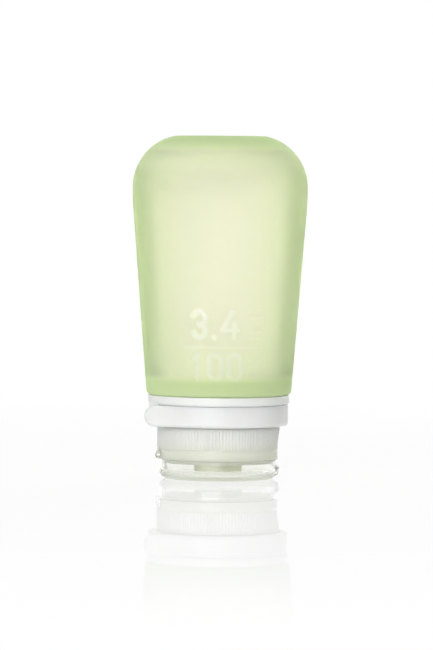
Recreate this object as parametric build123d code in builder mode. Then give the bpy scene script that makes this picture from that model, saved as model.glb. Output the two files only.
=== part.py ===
from build123d import *
from math import asin, cos, degrees, radians, sin, sqrt, tan
import os

# A squeezable travel bottle that stands on its flip lid: a silicone body, a
# white collar with a hinged carry loop, a ribbed screw cap with a slit valve in
# its spout, and a clear lid. Millimetres, +Z up, the origin on the floor on the
# bottle's axis. The front is -Y, the lid's hinge is at -X, its thumb lip at +X.

# Silicone body, from its joint with the collar up to the flat base
body_height = 78.0
body_max_radius = 26.4
body_wall = 2.7
base_thickness = 3.4
base_flat_past_crown = 3.1
crown_radius = 15.8
blend_radius = 105.0
body_taper = 4.5
foot_corner = 1.5
shoulder_thickness = 4.2
shoulder_corner_share = 0.34
neck_edge_share = 0.16

# Neck stack inside the cap, worked out from the skirt inwards
skirt_radius = 18.5
skirt_wall = 2.5
thread_room = 0.6
spigot_wall = 1.8
sleeve_wall = 1.45
insert_wall = 1.15
press_clearance = 0.05
bead_depth = 1.0
bead_height = 3.0
bead_above_shoulder = 2.2
bead_side_angle = 30.0

# Screw cap
skirt_height = 9.8
deck_thickness = 1.8
step_height = 1.2
lip_height = 0.7
rib_height = 5.9
rib_depth = 0.15
band_slope_height = 0.8
band_slope_inset = 0.1
rib_count = 116
skirt_entry_chamfer = 0.5
skirt_edge_round = 0.15
step_setback = 1.9
spout_radius = 7.3
spout_height = 3.0
spout_edge_round = 0.5
scoop_radius = 16.0
scoop_depth = 1.5
scoop_height = 2.0

# Slit valve and the ring that holds it in the spout
orifice_radius = 3.4
valve_bore_radius = 5.0
valve_ledge = 1.5
valve_flange_thickness = 0.8
valve_flange_bore = 3.2
valve_cone_radius = 3.1
valve_cone_rise = 0.6
valve_cone_thickness = 0.45
slit_length = 4.2
slit_width = 0.12
retainer_bore_radius = 3.7
retainer_chamfer = 0.35
deck_flush_gap = 0.1

# Flip lid
lid_setback = 0.4
lid_wall = 1.3
lid_plate = 1.65
lid_corner = 3.0
lid_inner_corner = 1.5
lid_rim_round = 0.3
rim_gap = 0.2
spout_gap = 0.25
stopper_radius = 2.8
stopper_height = 1.45
stopper_chamfer = 0.3
ledge_reach = 0.45
ledge_plan_radius = 9.0
ledge_thickness = 2.5
ledge_height = 1.2
ledge_taper = 12.0
ledge_groove_radius = 1.7
ledge_groove_depth = 0.8
ledge_groove_height = 5.1

# Lid hinge
hinge_inset = 0.5
hinge_height = 7.1
cap_knuckle_radius = 1.1
cap_knuckle_half_width = 3.95
ear_radius = 1.3
ear_thickness = 2.0
ear_side_gap = 0.25
ear_round_gap = 0.4
ear_foot_reach = 1.8
ear_foot_setback = 0.2
ear_foot_height = 2.4
stub_radius = 0.6
stub_length = 1.6
stub_clearance = 0.05
notch_floor = 1.9

# Collar
cap_gap = 0.1
collar_lip = 0.1
loop_height = 6.4
loop_top_gap = 0.1
groove_height = 0.5
groove_depth = 0.06
flange_thickness = 2.3
flange_reach = 0.3
flange_edge_round = 0.4
spigot_end_gap = 0.2
spigot_lead_chamfer = 0.5

# Carry loop, measured round the axis from +X, and its knuckled hinge
loop_gap = 0.4
loop_thickness = 2.1
loop_hinge_angle = 32.0
loop_sweep = 152.0
loop_open_angle = 30.0
tongue_length = 13.5
tip_round_share = 0.49
loop_low_round = 1.0
loop_top_round = 0.3
loop_knuckle_radius = 1.2
loop_knuckle_outset = 0.5
loop_knuckle_gap = 0.3
knuckle_side_gap = 0.2
loop_pin_radius = 0.6
pin_clearance = 0.05
snap_radius = 0.7
snap_clearance = 0.3
snap_lead_angle = 10.0

# Neck seal and neck insert
seal_thickness = 1.0
seal_seat_gap = 0.1
seal_bore_wall = 1.1
seal_plug_height = 2.5
seal_plug_clearance = 0.3
seal_rim_clearance = 0.4
insert_flange = 1.0
insert_top_margin = 1.2
insert_lead_chamfer = 0.4

# Length by which a cutter runs past what it cuts
overrun = 2.0

# Heights above the floor
deck_z = lid_plate + spout_gap + spout_height
deck_top_z = deck_z + deck_thickness
skirt_low_z = deck_z + step_height
skirt_top_z = skirt_low_z + skirt_height
lip_low_z = skirt_top_z - lip_height
rib_low_z = lip_low_z - rib_height
rim_z = skirt_low_z - rim_gap
collar_shoulder_z = skirt_top_z + cap_gap
loop_low_z = collar_shoulder_z + collar_lip
loop_top_z = loop_low_z + loop_height
flange_low_z = loop_top_z + groove_height
joint_z = flange_low_z + flange_thickness
base_z = joint_z + body_height
seal_low_z = deck_top_z + seal_seat_gap
seal_top_z = seal_low_z + seal_thickness
spigot_end_z = seal_top_z + spigot_end_gap
sleeve_end_z = spigot_end_z + insert_flange + press_clearance
bead_low_z = collar_shoulder_z + bead_above_shoulder
bead_top_z = bead_low_z + bead_height

# Radii from the skirt inwards
skirt_bore = skirt_radius - skirt_wall
step_radius = skirt_radius - step_setback
spigot_radius = skirt_bore - thread_room
collar_bore = spigot_radius - spigot_wall
sleeve_radius = collar_bore - press_clearance
neck_bore = sleeve_radius - sleeve_wall
insert_radius = neck_bore - press_clearance
mouth_radius = insert_radius - insert_wall
lid_radius = skirt_radius - lid_setback
lid_bore = lid_radius - lid_wall

# Radii of the collar and its loop
loop_seat_radius = skirt_radius
loop_inner = loop_seat_radius + loop_gap
loop_outer = loop_inner + loop_thickness
flange_radius = loop_outer + flange_reach
loop_pivot_radius = (loop_inner + loop_outer) / 2 + loop_knuckle_outset
groove_radius = loop_outer - groove_depth

# Points of the body's skin that both its outside and its cavity follow
crown_centre_x = body_max_radius - crown_radius
base_flat_radius = crown_centre_x + base_flat_past_crown
crown_centre_z = base_z - sqrt(crown_radius**2 - base_flat_past_crown**2)
blend_centre_x = body_max_radius - blend_radius


def skin_flat_radius(inset, flat_z):
    """Radius at which the crown, `inset` inside the skin, meets a flat at `flat_z`."""
    return crown_centre_x + sqrt((crown_radius - inset) ** 2 - (flat_z - crown_centre_z) ** 2)


def skin_side_radius(inset, height):
    """Radius of the straight tapered side, `inset` inside the skin, at a height."""
    reach = blend_radius - inset
    start_x = blend_centre_x + reach * cos(radians(body_taper))
    start_z = crown_centre_z - reach * sin(radians(body_taper))
    return start_x - (start_z - height) * tan(radians(body_taper))


def skin_line(inset, flat_z, low_z):
    """Draw the crown, the blend below it and the tapered side, `inset` inside the skin."""
    rise = degrees(asin((flat_z - crown_centre_z) / (crown_radius - inset)))
    CenterArc((crown_centre_x, crown_centre_z), crown_radius - inset, 0, rise)
    blend = CenterArc((blend_centre_x, crown_centre_z), blend_radius - inset, 0, -body_taper)
    Line(blend @ 1, (skin_side_radius(inset, low_z), low_z))


def corner(across, up):
    """Return the corner of the open sketch that is nearest to a point."""
    return vertices().sort_by_distance((across, up))[0]


def sector_line(inner, outer, start_angle, sweep):
    """Draw the outline between two radii over an angle."""
    inside = CenterArc((0, 0), inner, start_angle, sweep)
    outside = CenterArc((0, 0), outer, start_angle, sweep)
    Line(inside @ 0, outside @ 0)
    Line(inside @ 1, outside @ 1)


os.makedirs("parts", exist_ok=True)

# Silicone body: a tapered bulb whose neck sleeve hangs through the collar, with
# a bead on the sleeve that locks into the collar's bore
with BuildPart() as silicone_body:
    with BuildSketch(Plane.XZ):
        with BuildLine():
            skin_line(0, base_z, joint_z)
            foot_radius = skin_side_radius(0, joint_z)
            bead_slope = bead_depth * tan(radians(bead_side_angle))
            Polyline(
                (foot_radius, joint_z),
                (sleeve_radius, joint_z),
                (sleeve_radius, bead_top_z),
                (sleeve_radius + bead_depth, bead_top_z - bead_slope),
                (sleeve_radius + bead_depth, bead_low_z + bead_slope),
                (sleeve_radius, bead_low_z),
                (sleeve_radius, sleeve_end_z),
                (0, sleeve_end_z),
                (0, base_z),
                (base_flat_radius, base_z),
            )
        make_face()
        fillet(corner(foot_radius, joint_z), foot_corner)
    revolve(axis=Axis.Z)
    with BuildSketch(Plane.XZ):
        cavity_top_z = base_z - base_thickness
        cavity_low_z = joint_z + shoulder_thickness
        cavity_flat = skin_flat_radius(body_wall, cavity_top_z)
        cavity_foot = skin_side_radius(body_wall, cavity_low_z)
        shoulder_width = cavity_foot - neck_bore
        with BuildLine():
            skin_line(body_wall, cavity_top_z, cavity_low_z)
            Polyline(
                (cavity_foot, cavity_low_z),
                (neck_bore, cavity_low_z),
                (neck_bore, sleeve_end_z - overrun),
                (0, sleeve_end_z - overrun),
                (0, cavity_top_z),
                (cavity_flat, cavity_top_z),
            )
        make_face()
        fillet(corner(cavity_foot, cavity_low_z), shoulder_corner_share * shoulder_width)
        fillet(corner(neck_bore, cavity_low_z), neck_edge_share * shoulder_width)
    revolve(axis=Axis.Z, mode=Mode.SUBTRACT)

silicone_body.part.label = "silicone_body"
export_step(silicone_body.part, "parts/silicone_body.step")

# Neck insert: a rigid bush pushed up the sleeve, whose flange closes its end
insert_top_z = joint_z - insert_top_margin

with BuildPart() as neck_insert:
    with BuildSketch(Plane.XZ):
        with BuildLine():
            Polyline(
                (mouth_radius, spigot_end_z),
                (sleeve_radius, spigot_end_z),
                (sleeve_radius, spigot_end_z + insert_flange),
                (insert_radius, spigot_end_z + insert_flange),
                (insert_radius, insert_top_z),
                (mouth_radius, insert_top_z),
                close=True,
            )
        make_face()
        chamfer(corner(insert_radius, insert_top_z), insert_lead_chamfer)
    revolve(axis=Axis.Z)

neck_insert.part.label = "neck_insert"
export_step(neck_insert.part, "parts/neck_insert.step")

# Neck seal: a washer under the neck's end, held by its plug in the insert's bore
seal_plug_radius = mouth_radius - seal_plug_clearance
seal_bore = seal_plug_radius - seal_bore_wall
seal_radius = skirt_bore - seal_rim_clearance

with BuildPart() as neck_seal:
    with BuildSketch(Plane.XZ):
        with BuildLine():
            Polyline(
                (seal_bore, seal_low_z),
                (seal_radius, seal_low_z),
                (seal_radius, seal_top_z),
                (seal_plug_radius, seal_top_z),
                (seal_plug_radius, seal_top_z + seal_plug_height),
                (seal_bore, seal_top_z + seal_plug_height),
                close=True,
            )
        make_face()
    revolve(axis=Axis.Z)

neck_seal.part.label = "neck_seal"
export_step(neck_seal.part, "parts/neck_seal.step")

# Places of the loop's hinge: its pin stands upright, and the loop's knuckle sits
# between two knuckles of the collar
pivot_x = loop_pivot_radius * cos(radians(loop_hinge_angle))
pivot_y = loop_pivot_radius * sin(radians(loop_hinge_angle))
knuckle_height = loop_height / 3
mid_knuckle_low_z = loop_low_z + knuckle_height
mid_knuckle_top_z = loop_top_z - knuckle_height
relief_radius = loop_knuckle_radius + loop_knuckle_gap
band_sweep = 360 - loop_sweep - loop_open_angle
snap_angle = loop_hinge_angle - loop_sweep + snap_lead_angle
snap_x = loop_inner * cos(radians(snap_angle))
snap_y = loop_inner * sin(radians(snap_angle))

# Collar: flange, fixed band at the back, seat for the loop and the spigot that
# the cap screws onto
with BuildPart() as neck_collar:
    with BuildSketch(Plane.XZ):
        with BuildLine():
            Polyline(
                (collar_bore, spigot_end_z),
                (spigot_radius, spigot_end_z),
                (spigot_radius, collar_shoulder_z),
                (loop_seat_radius, collar_shoulder_z),
                (loop_seat_radius, loop_top_z + loop_top_gap),
                (groove_radius, loop_top_z + loop_top_gap),
                (groove_radius, flange_low_z),
                (flange_radius, flange_low_z),
                (flange_radius, joint_z),
                (collar_bore, joint_z),
                close=True,
            )
        make_face()
        fillet(corner(flange_radius, joint_z), flange_edge_round)
        chamfer(corner(spigot_radius, spigot_end_z), spigot_lead_chamfer)
    revolve(axis=Axis.Z)
    with BuildSketch(Plane.XY.offset(loop_low_z)):
        with BuildLine():
            sector_line(spigot_radius, loop_outer, loop_hinge_angle, band_sweep)
        make_face()
    extrude(amount=flange_low_z - loop_low_z)
    with BuildSketch(Plane.XY.offset(loop_top_z)):
        with BuildLine():
            sector_line(
                groove_radius,
                loop_outer + overrun,
                loop_hinge_angle - loop_open_angle,
                band_sweep + loop_open_angle * 2,
            )
        make_face()
    extrude(amount=groove_height, mode=Mode.SUBTRACT)
    with BuildSketch(Plane.XY.offset(loop_low_z)):
        with Locations((pivot_x, pivot_y)):
            Circle(loop_knuckle_radius)
    extrude(amount=loop_height)
    with BuildSketch(Plane.XY.offset(mid_knuckle_low_z)):
        with Locations((pivot_x, pivot_y)):
            Circle(relief_radius)
    extrude(amount=mid_knuckle_top_z - mid_knuckle_low_z, mode=Mode.SUBTRACT)
    with BuildSketch(Plane.XY.offset(loop_low_z - overrun)):
        with Locations((pivot_x, pivot_y)):
            Circle(loop_pin_radius + press_clearance)
    extrude(amount=loop_height + overrun, mode=Mode.SUBTRACT)
    with BuildSketch(Plane.XY.offset(mid_knuckle_low_z - snap_clearance)):
        with Locations((snap_x, snap_y)):
            Circle(snap_radius + snap_clearance)
    extrude(amount=mid_knuckle_top_z - mid_knuckle_low_z + snap_clearance * 2, mode=Mode.SUBTRACT)
    with BuildSketch(Plane.XZ):
        groove_slope = (bead_depth + press_clearance) * tan(radians(bead_side_angle))
        with BuildLine():
            Polyline(
                (collar_bore, bead_top_z),
                (collar_bore + bead_depth, bead_top_z - groove_slope),
                (collar_bore + bead_depth, bead_low_z + groove_slope),
                (collar_bore, bead_low_z),
                (collar_bore - press_clearance, bead_low_z),
                (collar_bore - press_clearance, bead_top_z),
                close=True,
            )
        make_face()
    revolve(axis=Axis.Z, mode=Mode.SUBTRACT)

neck_collar.part.label = "neck_collar"
export_step(neck_collar.part, "parts/neck_collar.step")

# Carry loop: a curved strap in the collar's recess that ends in a straight pull
# tongue with a full round tip, and snaps over the collar by a small rib
tongue_angle = loop_hinge_angle - loop_sweep
tongue_start_x = loop_inner * cos(radians(tongue_angle))
tongue_start_y = loop_inner * sin(radians(tongue_angle))
tip_radius = loop_height * tip_round_share
tongue_plane = Plane(
    origin=(tongue_start_x, tongue_start_y, loop_low_z),
    x_dir=(sin(radians(tongue_angle)), -cos(radians(tongue_angle)), 0),
    z_dir=(cos(radians(tongue_angle)), sin(radians(tongue_angle)), 0),
)

with BuildPart() as carry_loop:
    with BuildSketch(Plane.XY.offset(loop_low_z)):
        with BuildLine():
            sector_line(loop_inner, loop_outer, loop_hinge_angle, -loop_sweep)
        make_face()
    extrude(amount=loop_height)
    with BuildSketch(tongue_plane):
        Rectangle(tongue_length, loop_height, align=(Align.MIN, Align.MAX))
    extrude(amount=loop_thickness)
    for level, edge_round in ((loop_low_z, loop_low_round), (loop_top_z, loop_top_round)):
        level_edges = edges().filter_by_position(Axis.Z, level, level)
        outer_arc = level_edges.filter_by(GeomType.CIRCLE).sort_by(SortBy.RADIUS)[-1]
        long_lines = level_edges.filter_by(GeomType.LINE).sort_by(SortBy.LENGTH)[-2:]
        fillet([outer_arc, long_lines.sort_by(SortBy.DISTANCE)[-1]], edge_round)
    with BuildSketch(tongue_plane):
        with Locations((tongue_length - tip_radius, -loop_height / 2)):
            Rectangle(tip_radius + overrun, loop_height + overrun, align=(Align.MIN, Align.CENTER))
            Circle(tip_radius, mode=Mode.SUBTRACT)
    extrude(amount=loop_thickness, mode=Mode.SUBTRACT)
    for lug_low, lug_top in ((loop_low_z, mid_knuckle_low_z), (mid_knuckle_top_z, loop_top_z)):
        with BuildSketch(Plane.XY.offset(lug_low - knuckle_side_gap)):
            with Locations((pivot_x, pivot_y)):
                Circle(relief_radius)
        extrude(amount=lug_top - lug_low + knuckle_side_gap * 2, mode=Mode.SUBTRACT)
    with BuildSketch(Plane.XY.offset(mid_knuckle_low_z + knuckle_side_gap)):
        with Locations((pivot_x, pivot_y)):
            Circle(loop_knuckle_radius)
    extrude(amount=knuckle_height - knuckle_side_gap * 2)
    with BuildSketch(Plane.XY.offset(mid_knuckle_low_z)):
        with Locations((snap_x, snap_y)):
            Circle(snap_radius)
    extrude(amount=knuckle_height)
    with BuildSketch(Plane.XY.offset(loop_low_z)):
        with Locations((pivot_x, pivot_y)):
            Circle(loop_pin_radius + pin_clearance)
    extrude(amount=loop_height, mode=Mode.SUBTRACT)

carry_loop.part.label = "carry_loop"
export_step(carry_loop.part, "parts/carry_loop.step")

# Loop pin: stands in the collar's two knuckles and through the loop's
with BuildPart() as loop_pin:
    with BuildSketch(Plane.XY.offset(loop_low_z)):
        with Locations((pivot_x, pivot_y)):
            Circle(loop_pin_radius)
    extrude(amount=loop_height)

loop_pin.part.label = "loop_pin"
export_step(loop_pin.part, "parts/loop_pin.step")

# Places of the spout, its valve and the lid's hinge
spout_low_z = deck_z - spout_height
ledge_z = spout_low_z + valve_ledge
hinge_x = hinge_inset - skirt_radius
pocket_radius = ear_radius + ear_round_gap
pocket_width = ear_thickness + ear_side_gap * 2
rib_root_radius = skirt_radius - rib_depth
rib_ring_bore = rib_root_radius - band_slope_inset * 2

# Screw cap: skirt with fine ribs, deck with the spout, step for the lid's rim,
# knuckle and ear pockets of the lid's hinge, and the thumb scoop
with BuildPart() as screw_cap:
    with BuildSketch(Plane.XZ):
        with BuildLine():
            Polyline(
                (valve_bore_radius, deck_top_z),
                (skirt_bore, deck_top_z),
                (skirt_bore, skirt_top_z),
                (skirt_radius, skirt_top_z),
                (skirt_radius, lip_low_z),
                (rib_ring_bore, lip_low_z),
                (rib_ring_bore, rib_low_z),
                (rib_root_radius - band_slope_inset, rib_low_z),
                (skirt_radius, rib_low_z - band_slope_height),
                (skirt_radius, skirt_low_z),
                (step_radius, skirt_low_z),
                (step_radius, deck_z),
                (spout_radius, deck_z),
                (spout_radius, spout_low_z),
                (orifice_radius, spout_low_z),
                (orifice_radius, ledge_z),
                (valve_bore_radius, ledge_z),
                close=True,
            )
        make_face()
        chamfer(corner(skirt_bore, skirt_top_z), skirt_entry_chamfer)
        fillet(corner(skirt_radius, skirt_top_z), skirt_edge_round)
        fillet(corner(spout_radius, spout_low_z), spout_edge_round)
    revolve(axis=Axis.Z)
    with BuildSketch(Plane.XY.offset(rib_low_z)):
        with BuildLine():
            rib_points = []
            for index in range(rib_count):
                crest = radians(360 * index / rib_count)
                root = radians(360 * (index + 1 / 2) / rib_count)
                rib_points.append((skirt_radius * cos(crest), skirt_radius * sin(crest)))
                rib_points.append((rib_root_radius * cos(root), rib_root_radius * sin(root)))
            Polyline(*rib_points, close=True)
        make_face()
        Circle(skirt_bore + skirt_wall / 2, mode=Mode.SUBTRACT)
    extrude(amount=rib_height)
    with BuildSketch(Plane.XZ):
        with Locations((hinge_x, hinge_height)):
            Circle(cap_knuckle_radius)
    extrude(amount=cap_knuckle_half_width, both=True)
    for pocket_start in (cap_knuckle_half_width, -cap_knuckle_half_width - pocket_width):
        with BuildSketch(Plane.XZ.offset(pocket_start)):
            with Locations((hinge_x, hinge_height)):
                Circle(pocket_radius)
                Rectangle(
                    pocket_radius * 2,
                    hinge_height - skirt_low_z + overrun,
                    align=(Align.CENTER, Align.MAX),
                )
        extrude(amount=pocket_width, mode=Mode.SUBTRACT)
    with BuildSketch(Plane.XZ):
        with Locations((hinge_x, hinge_height)):
            Circle(stub_radius + stub_clearance)
    extrude(amount=cap_knuckle_half_width, both=True, mode=Mode.SUBTRACT)
    with Locations((skirt_radius - scoop_depth + scoop_radius, 0, skirt_low_z + scoop_height)):
        Sphere(scoop_radius, mode=Mode.SUBTRACT)

screw_cap.part.label = "screw_cap"
export_step(screw_cap.part, "parts/screw_cap.step")

# Slit valve: a soft flange round a shallow cone that a crossed slit opens
valve_radius = valve_bore_radius - press_clearance
valve_low_z = ledge_z + press_clearance
valve_top_z = valve_low_z + valve_flange_thickness

with BuildPart() as dispensing_valve:
    with BuildSketch(Plane.XZ):
        with BuildLine():
            Polyline(
                (0, valve_low_z + valve_cone_rise),
                (valve_cone_radius, valve_low_z),
                (valve_radius, valve_low_z),
                (valve_radius, valve_top_z),
                (valve_flange_bore, valve_top_z),
                (valve_flange_bore, valve_low_z + valve_cone_thickness),
                (0, valve_low_z + valve_cone_rise + valve_cone_thickness),
                close=True,
            )
        make_face()
    revolve(axis=Axis.Z)
    with BuildSketch(Plane.XY.offset(valve_low_z)):
        Rectangle(slit_length, slit_width)
        Rectangle(slit_width, slit_length)
    extrude(amount=valve_cone_rise + valve_cone_thickness, mode=Mode.SUBTRACT)

dispensing_valve.part.label = "dispensing_valve"
export_step(dispensing_valve.part, "parts/dispensing_valve.step")

# Valve retainer: a ring pressed into the spout from inside the cap
retainer_low_z = valve_top_z + press_clearance
retainer_top_z = deck_top_z - deck_flush_gap

with BuildPart() as valve_retainer:
    with BuildSketch(Plane.XZ):
        with BuildLine():
            Polyline(
                (retainer_bore_radius, retainer_low_z),
                (valve_radius, retainer_low_z),
                (valve_radius, retainer_top_z),
                (retainer_bore_radius, retainer_top_z),
                close=True,
            )
        make_face()
        chamfer(corner(retainer_bore_radius, retainer_top_z), retainer_chamfer)
    revolve(axis=Axis.Z)

valve_retainer.part.label = "valve_retainer"
export_step(valve_retainer.part, "parts/valve_retainer.step")

# Flip lid: a clear shallow cup with a stopper for the orifice, a thumb ledge and
# two hinge ears whose stubs snap into the cap's knuckle
stopper_top_z = lid_plate + stopper_height
ear_start = cap_knuckle_half_width + ear_side_gap
ledge_top_z = ledge_height + ledge_thickness

with BuildPart() as flip_lid:
    with BuildSketch(Plane.XY.offset(ledge_top_z)):
        with Locations((lid_radius + ledge_reach - ledge_plan_radius, 0)):
            Circle(ledge_plan_radius)
    extrude(amount=-ledge_thickness, taper=ledge_taper)
    with BuildSketch(Plane.XY.offset(ledge_height - overrun)):
        Circle(lid_bore)
    extrude(amount=ledge_thickness + overrun * 2, mode=Mode.SUBTRACT)
    with BuildSketch(Plane.XZ):
        with BuildLine():
            Polyline(
                (0, 0),
                (lid_radius, 0),
                (lid_radius, rim_z),
                (lid_bore, rim_z),
                (lid_bore, lid_plate),
                (stopper_radius, lid_plate),
                (stopper_radius, stopper_top_z),
                (0, stopper_top_z),
                close=True,
            )
        make_face()
        fillet(corner(lid_radius, 0), lid_corner)
        fillet(corner(lid_bore, lid_plate), lid_inner_corner)
        fillet(corner(lid_radius, rim_z), lid_rim_round)
        chamfer(corner(stopper_radius, stopper_top_z), stopper_chamfer)
    revolve(axis=Axis.Z)
    with BuildSketch(Plane.XZ):
        with Locations((lid_radius - ledge_groove_depth + ledge_groove_radius, ledge_groove_height)):
            Circle(ledge_groove_radius)
    extrude(amount=ledge_plan_radius, both=True, mode=Mode.SUBTRACT)
    with BuildSketch(Plane.XY.offset(notch_floor)):
        with Locations((-lid_radius - overrun, 0)):
            Rectangle(lid_wall * 2 + overrun, ear_start * 2, align=(Align.MIN, Align.CENTER))
    extrude(amount=rim_z, mode=Mode.SUBTRACT)
    for ear_place in (ear_start, -ear_start - ear_thickness):
        with BuildSketch(Plane.XZ.offset(ear_place)):
            with Locations((hinge_x, hinge_height)):
                Circle(ear_radius)
            with BuildLine():
                Polyline(
                    (hinge_x, hinge_height),
                    (hinge_x + ear_radius, hinge_height),
                    (hinge_x + ear_foot_reach, ear_foot_height),
                    (hinge_x + ear_foot_setback, ear_foot_height),
                    close=True,
                )
            make_face()
        extrude(amount=ear_thickness)
    for stub_place in (ear_start - stub_length, -ear_start):
        with BuildSketch(Plane.XZ.offset(stub_place)):
            with Locations((hinge_x, hinge_height)):
                Circle(stub_radius)
        extrude(amount=stub_length)

flip_lid.part.label = "flip_lid"
export_step(flip_lid.part, "parts/flip_lid.step")
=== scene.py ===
"""Looks of the travel silicone bottle: its skin, finishes, screw threads and studio.

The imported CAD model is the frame. Sizes in the classes are millimetres, as in the part's
source, and turn into metres where a mesh is made. +Z is up, -Y is the front.
"""

import logging
import math
from dataclasses import dataclass, field
from enum import Enum
from typing import Any, Iterable, Sequence

import bmesh
import bpy
from mathutils import Matrix, Vector


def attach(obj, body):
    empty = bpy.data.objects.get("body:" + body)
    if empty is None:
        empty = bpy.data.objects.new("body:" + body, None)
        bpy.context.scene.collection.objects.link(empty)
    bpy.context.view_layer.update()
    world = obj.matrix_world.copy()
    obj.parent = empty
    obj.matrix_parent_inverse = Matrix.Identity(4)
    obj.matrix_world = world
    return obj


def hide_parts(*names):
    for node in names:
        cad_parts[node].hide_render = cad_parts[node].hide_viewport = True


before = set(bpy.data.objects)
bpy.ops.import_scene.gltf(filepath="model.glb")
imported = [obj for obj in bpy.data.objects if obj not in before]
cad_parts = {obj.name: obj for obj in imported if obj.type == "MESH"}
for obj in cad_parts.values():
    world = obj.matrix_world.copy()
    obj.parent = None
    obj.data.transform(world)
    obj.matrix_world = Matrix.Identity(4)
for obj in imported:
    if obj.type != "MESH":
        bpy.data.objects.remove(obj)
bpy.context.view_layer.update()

MM = 0.001
# Anything smaller counts as nothing.
TINY = 1e-9
# Points of a new mesh that are this close, in metres, become one.
MERGE_DISTANCE = 1e-6
Point = tuple[float, float]
log = logging.getLogger("bottle")
# The Mix node's sockets by number, since several of them share one name.
FACTOR, FIRST, SECOND, FIRST_COLOUR, SECOND_COLOUR = 0, 2, 3, 6, 7
MIXED, MIXED_COLOUR = 0, 2


class Body(Enum):
    """The CAD bodies that the new pieces ride on."""

    CAP = "cap"
    SEAL = "seal"
    BOTTLE = "bottle"


class Slot(Enum):
    """The record's material slots that the new pieces belong to."""

    GREEN_SILICONE = "green_silicone"
    WHITE_PLASTIC = "white_plastic"
    FROSTED_PLASTIC = "frosted_plastic"
    CLEAR_SILICONE = "clear_silicone"


def linear(code: str) -> tuple[float, float, float, float]:
    """Turn an sRGB hex colour into Blender's linear colour.

    Args:
        code: Six hex digits, such as "F2F3F0".

    Returns:
        Red, green, blue and an alpha of 1.
    """
    parts = [int(code[i:i + 2], 16) / 255 for i in (0, 2, 4)]
    # The numbers are those of the sRGB curve.
    r, g, b = (v / 12.92 if v <= 0.04045 else ((v + 0.055) / 1.055) ** 2.4 for v in parts)
    return (r, g, b, 1.0)


def per_mm(size: float) -> float:
    """Give the texture scale at which one feature is `size` millimetres wide."""
    return 1.0 / (size * MM)


def rounded_place(point: Iterable[float]) -> tuple[float, ...]:
    """Round a place in millimetres to a micrometre, so that equal places can be found."""
    return tuple(round(c, 3) for c in point)


def add_node(
    tree: bpy.types.NodeTree,
    kind: str,
    settings: dict[str, Any] | None = None,
    inputs: dict[Any, Any] | None = None,
    links: dict[Any, bpy.types.NodeSocket] | None = None,
) -> bpy.types.Node:
    """Add one node with its settings, input values and incoming links.

    Args:
        tree: The node tree that gets it.
        kind: Blender's name of the node type.
        settings: Properties of the node itself.
        inputs: Values of its input sockets, by name or number.
        links: Sockets that feed its inputs, by the input's name or number.

    Returns:
        The new node.
    """
    node = tree.nodes.new(kind)
    for key, value in (settings or {}).items():
        setattr(node, key, value)
    for key, value in (inputs or {}).items():
        node.inputs[key].default_value = value
    for key, socket in (links or {}).items():
        tree.links.new(socket, node.inputs[key])
    return node


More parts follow.
